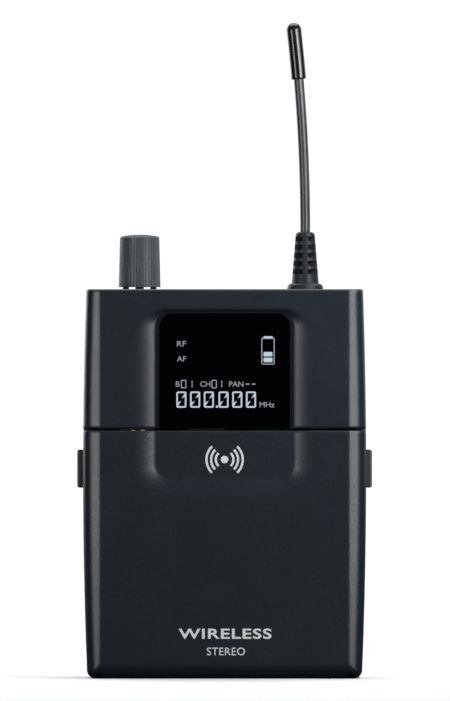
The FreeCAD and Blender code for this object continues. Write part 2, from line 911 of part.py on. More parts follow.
def make_board_parts():
    """Shield can with the tuner in it, the processor and the audio chip."""
    can = on_board(("shield_left", "shield_right"), ("shield_low", "shield_high"), "shield_rise")
    inside = box(("shield_left + shield_sheet", "shield_right - shield_sheet"),
                 ("board_y - shield_rise + shield_sheet", "board_y + overrun"),
                 ("shield_low + shield_sheet", "shield_high - shield_sheet"))
    keep(cut(can, inside), "rf_shield")
    keep(on_board(("9", "16"), ("61.4", "68.4")), "tuner_chip")
    keep(on_board(("-20", "-9"), ("60", "71")), "processor_chip")
    keep(on_board(("8", "14"), ("48", "53")), "audio_chip")


def button_rows():
    """Heights of the four buttons, from the bottom up."""
    return ["(button_low + button_pitch * %d)" % row for row in range(4)]


def make_control_panel():
    """Panel under the door, on two ledges that stand on the button board."""
    panel_back = "panel_front + panel_thick"
    holes = [("button_radius + play", "button_x", row) for row in button_rows()]
    plate = prism("y", ("panel_front", panel_back), [
        ("panel_left", "panel_low"),
        ("panel_right", "panel_low"),
        ("panel_right", "panel_high"),
        ("panel_left", "panel_high"),
    ], holes)
    ledges = [box(("panel_left", "panel_right"), (panel_back, "button_board_y"), rise)
              for rise in (("panel_low", "panel_low + panel_leg"),
                           ("panel_high - panel_leg", "panel_high"))]
    keep(fuse(plate, *ledges), "control_panel")


def make_buttons():
    """Four buttons in the panel: a cap, a flange behind the panel and a stem."""
    back = "panel_front + panel_thick + play"
    names = ("power_button", "set_button", "down_button", "up_button")
    for name, row in zip(names, button_rows()):
        at = ("button_x", row)
        button = fuse(
            rod("button_radius", "y", ("panel_front - button_rise", back), at),
            rod("button_flange", "y", (back, back + " + button_flange_thick"), at),
            rod("stem_radius", "y", (back, "switch_front - button_travel - play"), at),
        )
        keep(button, name)


def make_button_board():
    """The switches under the buttons, their board and its connector to the main board."""
    half = "switch_size / 2"
    wide = ("button_x - " + half, "button_x + " + half)
    switches = [box(wide, ("switch_front", "button_board_y"), (row + " - " + half, row + " + " + half))
                for row in button_rows()]
    keep(group(*switches), "tact_switches")
    back = "button_board_y + board_thick"
    keep(box(("panel_left + button_board_inset", "panel_right - button_board_inset"),
             ("button_board_y", back), ("panel_low", "panel_high")), "button_board")
    keep(box(("connector_left", "connector_right"), (back, "board_y"),
             ("connector_low", "connector_high")), "board_connector")


# Power


def make_cells():
    """Two AA cells side by side, nubs at opposite ends."""
    top = "cell_low + cell_length"
    for label, x, nub in (("battery_cell_left", "cell_left_x", (top, top + " + cell_nub")),
                          ("battery_cell_right", "cell_right_x", ("cell_low - cell_nub", "cell_low"))):
        at = (x, "cell_y")
        keep(fuse(rod("cell_radius", "z", ("cell_low", top), at),
                  rod("cell_nub_radius", "z", nub, at)), label)


def make_tray():
    """Cradle behind the cells."""
    block = box(("tray_left", "tray_right"), ("tray_front", BACK_INNER),
                ("cell_low", "cell_low + cell_length"))
    channels = [rod("cell_radius + tray_gap", "z", ("0", "body_height"), (x, "cell_y"))
                for x in ("cell_left_x", "cell_right_x")]
    keep(cut(block, *channels), "battery_tray")


def make_contacts():
    """Bridge and spring at the bottom, a plate for each pole at the top."""
    left = ("cell_left_x", "cell_y")
    right = ("cell_right_x", "cell_y")
    depth = ("cell_y - contact_half", "cell_y + contact_half")
    bridge_top = "(end_wall + contact_thick)"
    bridge = box(("cell_left_x - contact_half", "cell_right_x + contact_half"), depth,
                 ("end_wall", bridge_top))
    boss = rod("contact_boss", "z", ("end_wall", "cell_low - cell_nub"), right)
    keep(fuse(bridge, boss), "contact_bridge")
    plate_low = "(seam_z - contact_thick)"
    plates = {}
    for label, x in (("positive_contact", "cell_left_x"), ("negative_contact", "cell_right_x")):
        plates[label] = box((x + " - contact_half", x + " + contact_half"), depth,
                            (plate_low, "seam_z"))
    nub_top = "cell_low + cell_length + cell_nub"
    boss = rod("contact_boss", "z", (nub_top, "seam_z"), left)
    keep(fuse(plates["positive_contact"], boss), "positive_contact")
    keep(plates["negative_contact"], "negative_contact")
    below = coil("contact_coil", "contact_wire", 2, "z", (bridge_top, "cell_low"), left)
    keep(below, "contact_spring_bottom")
    above = coil("contact_coil", "contact_wire", 2, "z", ("cell_low + cell_length", plate_low), right)
    keep(above, "contact_spring_top")


# Top panel


def make_knob():
    """Ribbed knob with a slightly domed top and a skirt over the collar's lugs."""
    body = DOC.addObject("PartDesign::Body", "knob")
    sketch = sketch_on(body, "y", "0")
    draw_polygon(sketch, [
        ("0", "knob_low"),
        ("knob_base_radius", "knob_low"),
        ("knob_top_radius", "knob_shoulder"),
        ("knob_top_radius * 0.96", "knob_shoulder + (knob_top - knob_shoulder) * 0.3"),
        ("knob_top_radius * 0.8", "knob_shoulder + (knob_top - knob_shoulder) * 0.62"),
        ("knob_top_radius * 0.4", "knob_shoulder + (knob_top - knob_shoulder) * 0.92"),
        ("0", "knob_top"),
    ])
    turn = body.newObject("PartDesign::Revolution", "turn")
    turn.Profile = sketch
    turn.ReferenceAxis = (sketch, ["V_Axis"])
    turn.Angle = 360
    DOC.recompute()
    # Each groove between two ribs is a wedge that leans in with the taper.
    outlines = []
    for height, radius in (("knob_low", "knob_base_radius"), ("knob_shoulder", "knob_top_radius")):
        half = "(3.1416 * %s / rib_count * rib_share * 2)" % radius
        mouth = radius + " + rib_depth"
        outline = sketch_on(body, "z", height)
        draw_polygon(outline, [
            (radius + " - rib_depth", "0"),
            (mouth, "-" + half),
            (mouth, half),
        ])
        outline.Visibility = False
        outlines.append(outline)
    notch = body.newObject("PartDesign::SubtractiveLoft", "notch")
    notch.Profile = outlines[0]
    notch.Sections = outlines[1:]
    notch.Ruled = True
    DOC.recompute()
    ring = body.newObject("PartDesign::PolarPattern", "ribs")
    ring.Originals = [notch]
    ring.Axis = (sketch, ["V_Axis"])
    ring.Angle = 360
    bind(ring, "Occurrences", "rib_count")
    body.Tip = ring
    bind(body, "Placement.Base.x", "knob_x")
    bind(body, "Placement.Base.y", "control_y")
    bore = rod("shaft_radius", "z", ("knob_low - overrun", "shaft_top"), KNOB_AT)
    skirt = rod("skirt_radius", "z", ("knob_low - overrun", "knob_low + skirt_depth"), KNOB_AT)
    return keep(cut(body, bore, skirt), "volume_knob")


def make_volume_control():
    """Shaft, castellated collar round it and the control's case under the top wall."""
    well_low = "body_height - well_drop"
    keep(rod("shaft_radius", "z", (well_low + " + play", "shaft_top"), KNOB_AT), "volume_shaft")
    lug_rise = ("body_height - sink", "knob_low + lug_reach")
    ring = cut(rod("lug_outer", "z", lug_rise, KNOB_AT), rod("lug_inner", "z", lug_rise, KNOB_AT))
    narrow = "lug_width / 2"
    wide = "collar_radius"
    beam_rise = ("body_height - overrun", "body_height + overrun")
    cross = fuse(*[
        box(("knob_x - " + half_x, "knob_x + " + half_x),
            ("control_y - " + half_y, "control_y + " + half_y), beam_rise)
        for half_x, half_y in ((narrow, wide), (wide, narrow))
    ])
    disc = rod("collar_radius", "z", (TOP_INNER, "body_height"), KNOB_AT)
    hole = rod("shaft_radius + running_gap", "z", TOP_CUT, KNOB_AT)
    keep(cut(fuse(disc, overlap(ring, cross)), hole), "knob_collar")
    case = box(("knob_x - control_half", "knob_x + control_half"), ("control_front", "board_y"),
               ("body_height - control_drop", TOP_INNER))
    well = rod("shaft_radius + running_gap", "z", (well_low, "body_height"), KNOB_AT)
    keep(cut(case, well), "potentiometer")


def make_jack():
    """Headphone jack: a ferrule in the top wall and the socket under it, on one bore."""
    bore = rod("jack_radius", "z", ("body_height - jack_depth", "body_height + overrun"), JACK_AT)
    keep(cut(rod("jack_outer", "z", (TOP_INNER, "body_height"), JACK_AT), bore), "jack_ferrule")
    socket = box(("-socket_half", "socket_half"), ("0", "board_y"),
                 ("body_height - jack_depth - socket_floor", TOP_INNER))
    keep(cut(socket, bore), "jack_socket")


# Antenna


def make_boot():
    """Flexible boot: domed flange, tapered sleeve with rows of slots, dished top."""
    top_radius = "(boot_base_radius + boot_step)"
    crown = "(boot_top - boot_crown)"
    # A rounded shoulder is a few frustums on a quarter circle: how far up, how far in.
    shoulder = ((0.0, 0.0), (0.4, 0.08), (0.75, 0.34), (1.0, 1.0))
    profile = [("flange_radius - (flange_radius - %s) * %g" % (top_radius, inward),
                "body_height + flange_rise * %g" % up) for up, inward in shoulder]
    profile.append(("boot_base_radius", profile[-1][1]))
    profile += [("boot_top_radius - boot_crown_inset * %g" % inward,
                 "%s + boot_crown * %g" % (crown, up)) for up, inward in shoulder]
    bands = []
    for (low_radius, low), (high_radius, high) in zip(profile, profile[1:]):
        if low != high and low_radius != high_radius:
            bands.append(taper(low_radius, high_radius, "z", (low, high), ANTENNA_AT))
    blank = fuse(*bands)
    rings = []
    for row in range(5):
        low = "slot_low - slot_rise / 2 + slot_pitch * %d" % row
        rings.append(rod("flange_radius", "z", (low, low + " + slot_rise"), ANTENNA_AT))
    height = ("body_height", "boot_top")
    core = rod("slot_core", "z", height, ANTENNA_AT)
    web = "web_width / 2"
    reach = "flange_radius"
    webs = fuse(*[
        box(("antenna_x - " + half_x, "antenna_x + " + half_x),
            ("control_y - " + half_y, "control_y + " + half_y), height)
        for half_x, half_y in ((web, reach), (reach, web))
    ])
    slots = cut(group(*rings), core, webs)
    bore = rod("spigot_radius", "z", ("body_height - overrun", "pivot_z - spigot_drop"), ANTENNA_AT)
    dish = ball("whip_radius + cup_gap", "antenna_x", "control_y", "pivot_z")
    return keep(cut(blank, slots, bore, dish), "antenna_boot")


def make_antenna_base():
    """Metal base through the top wall, and the clip that joins it to the board."""
    base = fuse(
        rod("boot_top_radius", "z", ("body_height - base_drop", "body_height"), ANTENNA_AT),
        rod("spigot_radius", "z", ("body_height - sink", "pivot_z - spigot_drop"), ANTENNA_AT),
        rod("base_collar", "z", (TOP_INNER + " - base_collar_thick", TOP_INNER), ANTENNA_AT),
    )
    keep(base, "antenna_base")
    clip_low = "(body_height - base_drop + play)"
    keep(box(("antenna_x - antenna_clip_half", "antenna_x + antenna_clip_half"),
             ("control_y + boot_top_radius", "board_y"),
             (clip_low, clip_low + " + antenna_clip_thick")), "antenna_contact")


def bent_rod(radius, low, high):
    """A stretch of rod on the whip's arc, which leans to the left as it rises."""
    ring = DOC.addObject("Part::Torus", "arc")
    bind(ring, "Radius1", "whip_bend")
    bind(ring, "Radius2", radius)
    bind(ring, "Angle3", "(%s - %s) / whip_bend * 180 / 3.14159265" % (high, low))
    # The arc's centre is level with the pivot and to its left; its turn is about -Y.
    start = math.degrees((size(low) - size("pivot_z")) / size("whip_bend"))
    upright = FreeCAD.Rotation(FreeCAD.Vector(1, 0, 0), 90)
    turned = FreeCAD.Rotation(FreeCAD.Vector(0, 0, 1), start)
    ring.Placement = FreeCAD.Placement(FreeCAD.Vector(), upright * turned)
    bind(ring, "Placement.Base.x", "antenna_x - whip_bend")
    bind(ring, "Placement.Base.y", "control_y")
    bind(ring, "Placement.Base.z", "pivot_z")
    return ring


def make_whip():
    """Flexible whip, drawn in its natural slight bow, and the cap on its tip."""
    core = bent_rod("whip_radius", "pivot_z", "whip_end")
    keep(fuse(core, ball("whip_radius", "antenna_x", "control_y", "pivot_z")), "antenna_whip")
    blank = bent_rod("tip_radius", "tip_low", "tip_high")
    DOC.recompute()
    rounded = DOC.addObject("Part::Fillet", "rounded_tip")
    rounded.Base = blank
    middle = (size("tip_low") + size("tip_high")) / 2
    rims = []
    for number, edge in enumerate(blank.Shape.Edges, start=1):
        if edge.BoundBox.ZLength < size("tip_radius"):
            radius = size("tip_crown") if centre_of(edge).z > middle else size("tip_lip")
            rims.append((number, radius, radius))
    rounded.Edges = rims
    keep(cut(rounded, core), "antenna_tip")


# Belt clip and fasteners


def rounded_path(points, radius):
    """Wire of straight runs joined by tangent arcs."""
    edges = []
    start = points[0]
    for before, corner, after in zip(points, points[1:], points[2:]):
        back = (before - corner).normalize()
        on = (after - corner).normalize()
        half = back.getAngle(on) / 2
        reach = radius / math.tan(half)
        first = corner + back * reach
        last = corner + on * reach
        inward = (back + on).normalize()
        middle = corner + inward * (radius / math.sin(half) - radius)
        edges.append(Part.makeLine(start, first))
        edges.append(Part.Arc(first, middle, last).toShape())
        start = last
    edges.append(Part.makeLine(start, points[-1]))
    return Part.Wire(edges)


def make_clip():
    """Wire belt clip: its ends turn in the two eyes on the back."""
    half = size("clip_half")
    near = size("lug_near")
    y = size("clip_y")
    z = size("clip_z")
    stand = size("clip_stand")
    side = [
        (near, y, z),
        (half, y, z),
        (half, stand, size("clip_straight_high")),
        (half, stand, size("clip_straight_low")),
        (half, size("clip_touch_y"), size("clip_touch_z")),
        (half, size("clip_flare_y"), size("clip_flare_z")),
    ]
    spots = side + [(-x, back, up) for x, back, up in reversed(side)]
    path = rounded_path([FreeCAD.Vector(*spot) for spot in spots], size("clip_bend"))
    ring = Part.makeCircle(size("clip_wire"), FreeCAD.Vector(near, y, z), FreeCAD.Vector(1, 0, 0))
    tube = path.makePipeShell([Part.Wire(ring)], True, True)
    return keep(plain(tube, "belt_clip"), "belt_clip")


def make_screws():
    """Four case screws from the back and two board screws from the front."""
    case = []
    seat = BACK + " - head_depth"
    for spot in post_spots():
        case.append(fuse(
            rod("screw_head", "y", (seat, seat + " + head_thick"), spot),
            rod("screw_radius", "y", ("split_y - case_screw_reach", seat), spot),
        ))
    keep(group(*case), "case_screws")
    board = []
    for spot in board_screw_spots():
        board.append(fuse(
            rod("screw_head", "y", ("board_y - head_thick", "board_y"), spot),
            rod("screw_radius", "y", ("board_y - sink", "board_y + board_screw_reach"), spot),
        ))
    keep(group(*board), "board_screws")


def build():
    """Make every sub-part."""
    fill_sheet()
    case_form = make_case_form()
    recess_form = make_recess_form()
    make_rear_case(case_form)
    make_front_case(case_form, recess_form)
    make_battery_door(case_form, recess_form)
    make_hinge_pins()
    make_latch("", "latch_right")
    make_latch("-", "latch_left")
    make_latch_spring("", "latch_spring_right")
    make_latch_spring("-", "latch_spring_left")
    make_door_pad()
    make_display_lens()
    make_display_stack()
    make_main_board()
    make_board_parts()
    make_control_panel()
    make_buttons()
    make_button_board()
    make_cells()
    make_tray()
    make_contacts()
    make_knob()
    make_volume_control()
    make_jack()
    make_boot()
    make_antenna_base()
    make_whip()
    make_clip()
    make_screws()
    DOC.recompute()


def check():
    """Stop if any object failed or any sub-part has no sound solid."""
    for item in DOC.Objects:
        if "Invalid" in item.State or "Error" in item.State:
            raise RuntimeError("%s failed: %s" % (item.Label, item.State))
    for piece in PIECES:
        shape = piece.Shape
        if shape.isNull() or not shape.isValid() or not shape.Solids:
            raise RuntimeError("%s has no sound shape" % piece.Label)


def export():
    """Write one STEP file for each sub-part, named after it."""
    os.makedirs("parts", exist_ok=True)
    for piece in PIECES:
        piece.Shape.exportStep(os.path.join("parts", piece.Label + ".step"))


build()
check()
export()
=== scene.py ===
"""Looks for the wireless bodypack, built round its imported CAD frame."""

import json
import math

import bmesh
import bpy
from mathutils import Matrix, Vector


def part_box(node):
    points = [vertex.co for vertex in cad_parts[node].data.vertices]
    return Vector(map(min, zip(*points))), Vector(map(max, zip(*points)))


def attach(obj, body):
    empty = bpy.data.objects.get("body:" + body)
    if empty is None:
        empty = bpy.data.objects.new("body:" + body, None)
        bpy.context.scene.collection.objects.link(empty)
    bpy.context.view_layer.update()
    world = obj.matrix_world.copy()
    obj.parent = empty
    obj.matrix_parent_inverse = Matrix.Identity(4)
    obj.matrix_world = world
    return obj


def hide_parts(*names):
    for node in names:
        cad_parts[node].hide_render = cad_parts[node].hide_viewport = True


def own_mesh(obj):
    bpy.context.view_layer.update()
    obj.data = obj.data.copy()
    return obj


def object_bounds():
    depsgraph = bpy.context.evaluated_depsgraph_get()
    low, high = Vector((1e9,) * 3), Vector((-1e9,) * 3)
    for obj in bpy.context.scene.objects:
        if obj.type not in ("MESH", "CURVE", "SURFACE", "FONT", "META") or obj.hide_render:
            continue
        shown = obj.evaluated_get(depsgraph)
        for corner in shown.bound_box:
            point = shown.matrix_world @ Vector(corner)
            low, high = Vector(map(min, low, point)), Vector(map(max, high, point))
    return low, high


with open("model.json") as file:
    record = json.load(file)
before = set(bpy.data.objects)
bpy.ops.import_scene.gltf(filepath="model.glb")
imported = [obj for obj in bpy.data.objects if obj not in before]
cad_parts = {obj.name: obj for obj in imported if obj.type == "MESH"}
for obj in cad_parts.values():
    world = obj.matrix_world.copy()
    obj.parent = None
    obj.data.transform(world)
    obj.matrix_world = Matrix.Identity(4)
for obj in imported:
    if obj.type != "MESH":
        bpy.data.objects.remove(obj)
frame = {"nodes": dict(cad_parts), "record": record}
cad_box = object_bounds()

NODES = frame["nodes"]
MM = 0.001
FLOOR_Z = cad_box[0].z

# Materials

# The Mix node repeats its socket names for each data type, so its colour sockets go by number.
MIX_FACTOR, MIX_FIRST, MIX_SECOND, MIX_RESULT = 0, 6, 7, 2

# Where noise, which gathers round 0.5, is cut off when it is mapped onto another range.
NOISE_LOW, NOISE_HIGH = 0.3, 0.7
# Colour of the painted shade in grooves.
GROOVE_SHADE = (0.002, 0.002, 0.0025)


class Finish:
    """A procedural material: a Principled shader with a few node helpers. Sizes are in millimetres."""

    def __init__(self, name):
        self.material = bpy.data.materials.new(name)
        self.material.use_nodes = True
        self.tree = self.material.node_tree
        self.shader = self.tree.nodes["Principled BSDF"]
        self.at = self.node("ShaderNodeTexCoord").outputs["Object"]

    def node(self, kind, inputs=None, **settings):
        """Add a node, with its inputs fed and its properties set."""
        made = self.tree.nodes.new(kind)
        for key, value in settings.items():
            setattr(made, key, value)
        for key, value in (inputs or {}).items():
            self.feed(made.inputs[key], value)
        return made

    def feed(self, socket, value):
        """Link a socket to the value if that is an output, or else set it."""
        if isinstance(value, bpy.types.NodeSocket):
            self.tree.links.new(value, socket)
        elif hasattr(value, "__len__") and len(value) == 3 and socket.type == "RGBA":
            socket.default_value = (*value, 1.0)
        else:
            socket.default_value = value

    def set(self, **values):
        """Set shader sockets; a name's underscores stand for spaces."""
        for key, value in values.items():
            self.feed(self.shader.inputs[key.replace("_", " ")], value)

    def noise(self, feature, detail=2.0, rough=0.5, stretch=None):
        """Noise from 0 to 1 whose features are about that far across."""
        at = self.at
        if stretch:
            at = self.node("ShaderNodeMapping", {"Vector": at, "Scale": stretch}).outputs[0]
        return self.node("ShaderNodeTexNoise", {
            "Vector": at, "Scale": 1.0 / (feature * MM), "Detail": detail, "Roughness": rough,
        }).outputs["Fac"]

    def band(self, fac, low, high, out_low=0.0, out_high=1.0):
        """Map a value's range onto another, clamped."""
        return self.node("ShaderNodeMapRange", {
            "Value": fac, "From Min": low, "From Max": high, "To Min": out_low, "To Max": out_high,
        }).outputs[0]

    def math(self, operation, first, second=0.0):
        return self.node("ShaderNodeMath", {0: first, 1: second}, operation=operation).outputs[0]

    def blend(self, fac, first, second):
        """Mix two colours."""
        inputs = {MIX_FACTOR: fac, MIX_FIRST: first, MIX_SECOND: second}
        return self.node("ShaderNodeMix", inputs, data_type="RGBA").outputs[MIX_RESULT]

    def bump(self, height, depth, strength=1.0):
        """Feed a height from 0 to 1, that deep, to the shader's normal."""
        before = self.shader.inputs["Normal"]
        made = self.node("ShaderNodeBump", {
            "Height": height, "Distance": depth * MM, "Strength": strength,
        })
        if before.is_linked:
            self.feed(made.inputs["Normal"], before.links[0].from_socket)
        self.feed(before, made.outputs[0])

    def edges(self, radius, low, high):
        """From 0 on flat faces to 1 on convex and concave edges of about that radius."""
        soft = self.node("ShaderNodeBevel", {"Radius": radius * MM}, samples=4).outputs[0]
        true = self.node("ShaderNodeNewGeometry").outputs["True Normal"]
        dot = self.node("ShaderNodeVectorMath", {0: soft, 1: true}, operation="DOT_PRODUCT")
        return self.band(dot.outputs["Value"], 1.0 - low, 1.0 - high)


def crevice_shade(look, tone, reach, most_shade):
    """A tone with painted shade: it darkens in grooves about as deep as the reach, by the given share at
    most, where ambient occlusion finds little open sky.
    """
    open_sky = look.node("ShaderNodeAmbientOcclusion", {"Distance": reach * MM}, samples=6).outputs["AO"]
    depth = look.band(open_sky, 0.35, 0.85, most_shade, 0.0)
    return look.blend(depth, tone, GROOVE_SHADE)


def moulded(name, colour, lighter, roughness=(0.38, 0.5), grain=0.16, depth=0.006, worn=0.12,
            crease=0.0):
    """Moulded plastic with a spark-eroded grain, mottled sheen and faintly rubbed edges."""
    look = Finish(name)
    cloud = look.noise(9.0, 3.0)
    tone = look.blend(look.band(cloud, 0.35, 0.65), colour, lighter)
    patches = look.band(look.noise(1.4), NOISE_LOW, NOISE_HIGH)
    rubbed = look.math("MULTIPLY", look.edges(0.35, 0.02, 0.25), patches)
    pale = tuple(min(1.0, c * 2.0 + 0.01) for c in lighter)
    look.set(Base_Color=look.blend(look.math("MULTIPLY", rubbed, worn), tone, pale))
    fine = look.band(look.noise(grain * 3), NOISE_LOW, NOISE_HIGH, *roughness)
    broad = look.band(look.noise(22.0, 2.0), NOISE_LOW, NOISE_HIGH, -0.01, 0.02)
    look.set(Roughness=look.math("ADD", fine, broad), Specular_IOR_Level=0.5)
    if crease:
        # Creases catch the light as if they were rounded to this radius.
        soft = look.node("ShaderNodeBevel", {"Radius": crease * MM}, samples=8)
        look.feed(look.shader.inputs["Normal"], soft.outputs[0])
    look.bump(look.noise(grain, 1.0), depth)
    return look


def rubber(name, colour, lighter, roughness=(0.55, 0.7)):
    """Matt rubber with a dusty bloom, a very fine pitting and painted shade in its grooves."""
    look = Finish(name)
    bloom = look.blend(look.band(look.noise(2.5, 4.0), 0.35, 0.7), colour, lighter)
    look.set(
        # Painted shade darkens the base colour in the grooves.
        Base_Color=crevice_shade(look, bloom, 1.2, 0.9),
        Roughness=look.band(look.noise(0.6, 3.0), NOISE_LOW, NOISE_HIGH, *roughness),
        Specular_IOR_Level=0.35,
        Sheen_Weight=0.05,
        Sheen_Roughness=0.4,
    )
    look.bump(look.noise(0.12, 2.0), 0.008)
    return look


def glossy(name, colour, roughness=(0.05, 0.1), smear=6.0):
    """Polished plastic with faint smears and a slight orange peel."""
    look = Finish(name)
    smears = look.noise(smear, 4.0, 0.6, (1.0, 1.0, 0.35))
    faint = tuple(c * 1.5 for c in colour)
    look.set(
        Base_Color=look.blend(look.noise(1.0), colour, faint),
        Roughness=look.band(smears, 0.4, 0.75, *roughness),
        Specular_IOR_Level=0.5,
    )
    look.bump(look.noise(2.2, 1.0), 0.004, 0.5)
    return look


def metal(name, colour, darker, roughness=(0.2, 0.36), grain=(30.0, 1.0, 30.0), scratches=0.002):
    """Metal with drawn or brushed streaks and a slight tarnish."""
    look = Finish(name)
    streak = look.noise(1.2, 5.0, 0.7, grain)
    look.set(
        Base_Color=look.blend(look.band(look.noise(1.5, 4.0), 0.35, 0.7), colour, darker),
        Metallic=1.0,
        Roughness=look.band(streak, NOISE_LOW, NOISE_HIGH, *roughness),
    )
    look.bump(streak, scratches)
    return look


LOOKS = {
    "case_plastic": moulded("case_plastic", (0.0125, 0.0165, 0.0222), (0.0143, 0.0187, 0.0246),
                            (0.29, 0.34), 0.22, 0.012, crease=1.1),
    "knob_plastic": moulded("knob_plastic", (0.047, 0.053, 0.06), (0.057, 0.064, 0.071),
                            (0.42, 0.55), 0.12, 0.004),
    "collar_plastic": moulded("collar_plastic", (0.006, 0.007, 0.008), (0.009, 0.01, 0.012)),
    "boot_rubber": rubber("boot_rubber", (0.007, 0.0095, 0.0125), (0.0095, 0.0125, 0.0155), (0.42, 0.55)),
    "whip_sleeve": moulded("whip_sleeve", (0.03, 0.032, 0.034), (0.04, 0.042, 0.044),
                           (0.28, 0.38), 0.2, 0.004),
    "tip_plastic": glossy("tip_plastic", (0.006, 0.0065, 0.007), (0.12, 0.2)),
    "window_plastic": glossy("window_plastic", (0.0004, 0.0004, 0.0009), (0.03, 0.07), 9.0),
    "latch_plastic": moulded("latch_plastic", (0.03, 0.031, 0.034), (0.036, 0.037, 0.041)),
    "button_rubber": rubber("button_rubber", (0.05, 0.055, 0.06), (0.065, 0.07, 0.075)),
    "panel_plastic": moulded("panel_plastic", (0.013, 0.014, 0.016), (0.018, 0.019, 0.021)),
    "tray_plastic": moulded("tray_plastic", (0.014, 0.015, 0.017), (0.02, 0.021, 0.023),
                            (0.45, 0.6), 0.3, 0.01),
    "clip_steel": metal("clip_steel", (0.04, 0.041, 0.043), (0.022, 0.023, 0.024), (0.24, 0.38)),
    "steel": metal("steel", (0.6, 0.6, 0.61), (0.45, 0.45, 0.46)),
    "screw_steel": metal("screw_steel", (0.09, 0.09, 0.095), (0.05, 0.05, 0.055), (0.3, 0.42)),
    "contact_metal": metal("contact_metal", (0.72, 0.7, 0.66), (0.5, 0.48, 0.44)),
    "brass": metal("brass", (0.72, 0.52, 0.22), (0.5, 0.34, 0.13), (0.18, 0.3)),
    "ferrule_plastic": glossy("ferrule_plastic", (0.008, 0.009, 0.01), (0.12, 0.22)),
    "board_laminate": moulded("board_laminate", (0.006, 0.06, 0.03), (0.01, 0.09, 0.045),
                              (0.2, 0.3), 0.8, 0.01),
    "chip_epoxy": moulded("chip_epoxy", (0.012, 0.012, 0.014), (0.02, 0.02, 0.022)),
    "shield_tin": metal("shield_tin", (0.6, 0.6, 0.62), (0.45, 0.45, 0.47)),
    "cell_wrap": glossy("cell_wrap", (0.02, 0.022, 0.03), (0.2, 0.3)),
    "foam": rubber("foam", (0.02, 0.02, 0.021), (0.035, 0.035, 0.036), (0.8, 0.95)),
    "display_panel": glossy("display_panel", (0.01, 0.012, 0.014)),
    "cable_film": glossy("cable_film", (0.25, 0.11, 0.02), (0.2, 0.3)),
}
for part in frame["record"]["subparts"]:
    node = NODES[part["node"]]
    node.data.materials.clear()
    node.data.materials.append(LOOKS[part["material_slot"]].material)


def ink(name, colour, glow=0.0):
    """Printed or lit graphics: an almost even colour with a little speckle."""
    look = Finish(name)
    dim = tuple(c * 0.9 for c in colour)
    tone = look.blend(look.band(look.noise(0.25, 3.0), NOISE_LOW, NOISE_HIGH), dim, colour)
    look.set(Base_Color=tone, Roughness=look.band(look.noise(0.4), NOISE_LOW, NOISE_HIGH, 0.4, 0.55))
    look.bump(look.noise(0.15), 0.002)
    if glow:
        look.set(Emission_Color=tone, Emission_Strength=glow)
    return look


DISPLAY_GLOW = 0.9
INK = ink("white_print", (0.78, 0.79, 0.8))
LIT = ink("display_light", (0.3, 0.35, 0.4), DISPLAY_GLOW)
FAINT = ink("display_faint_light", (0.17, 0.195, 0.215), DISPLAY_GLOW)
# Dark plastic of the ring round the window: painted shade of the step down to the glass.
SHADE_RING = moulded("shade_ring_paint", (0.004, 0.005, 0.007), (0.006, 0.007, 0.009), (0.32, 0.42))
SHADE_RING.set(Specular_IOR_Level=0.2)

# Pieces

PRINT_THICK = 0.02


def add(name, mesh, look, body):
    """Make an object of a mesh that rides on a body, with the given look's material."""
    piece = bpy.data.objects.new(name, mesh)
    bpy.context.scene.collection.objects.link(piece)
    mesh.materials.clear()
    mesh.materials.append(look.material)
    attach(piece, body)
    return piece


def settle(curve, name):
    """Turn a flat curve or text into a mesh and drop the curve."""
    holder = bpy.data.objects.new(name, curve)
    bpy.context.scene.collection.objects.link(holder)
    bpy.context.view_layer.update()
    mesh = bpy.data.meshes.new_from_object(holder.evaluated_get(bpy.context.evaluated_depsgraph_get()))
    bpy.data.objects.remove(holder)
    mesh.name = name
    return mesh


FACING = Matrix.Rotation(math.radians(90), 4, "X")


def outlines(name, loops, thick):
    """Flat shape of closed (x, z) loops in millimetres; a loop inside another is a hole."""
    curve = bpy.data.curves.new(name, "CURVE")
    curve.dimensions = "2D"
    curve.fill_mode = "BOTH"
    curve.extrude = thick / 2
    for loop in loops:
        spline = curve.splines.new("POLY")
        spline.points.add(len(loop) - 1)
        for point, (x, z) in zip(spline.points, loop):
            point.co = (x, z, 0.0, 1.0)
        spline.use_cyclic_u = True
    return settle(curve, name)


def lettering(name, text, thick, bold=0.0, spacing=1.0):
    """Flat text of any size, as a mesh."""
    curve = bpy.data.curves.new(name, "FONT")
    curve.body = text
    curve.extrude = thick / 2
    curve.offset = bold
    curve.space_character = spacing
    curve.resolution_u = 6
    return settle(curve, name)


def stand(mesh, centre_x, base_z, y, width=None, height=None, left=None):
    """Size a flat mesh in millimetres and stand it up facing the front at a depth."""
    xs = [v.co.x for v in mesh.vertices]
    zs = [v.co.y for v in mesh.vertices]
    scale_x = width / (max(xs) - min(xs)) if width else 1.0
    scale_z = height / (max(zs) - min(zs)) if height else 1.0
    if left is None:
        shift_x = centre_x - (max(xs) + min(xs)) / 2 * scale_x
    else:
        shift_x = left - min(xs) * scale_x
    shift_z = base_z - min(zs) * scale_z
    for v in mesh.vertices:
        v.co = Vector((v.co.x * scale_x + shift_x, v.co.y * scale_z + shift_z, v.co.z)) * MM
    mesh.transform(FACING)
    mesh.transform(Matrix.Translation((0, y, 0)))
    return mesh


def round_box(x0, z0, x1, z1, radius, steps=5):
    """Loop of a rectangle with round corners."""
    loop = []
    for cx, cz, start in ((x1 - radius, z0 + radius, -90), (x1 - radius, z1 - radius, 0),
                          (x0 + radius, z1 - radius, 90), (x0 + radius, z0 + radius, 180)):
        for step in range(steps + 1):
            angle = math.radians(start + 90 * step / steps)
            loop.append((cx + radius * math.cos(angle), cz + radius * math.sin(angle)))
    return loop


def arc_band(cx, cz, radius, width, low, high, steps=16):
    """Loop of a stretch of ring between two angles in degrees."""
    loop = []
    for r, first, last in ((radius + width / 2, low, high), (radius - width / 2, high, low)):
        for step in range(steps + 1):
            angle = math.radians(first + (last - first) * step / steps)
            loop.append((cx + r * math.cos(angle), cz + r * math.sin(angle)))
    return loop


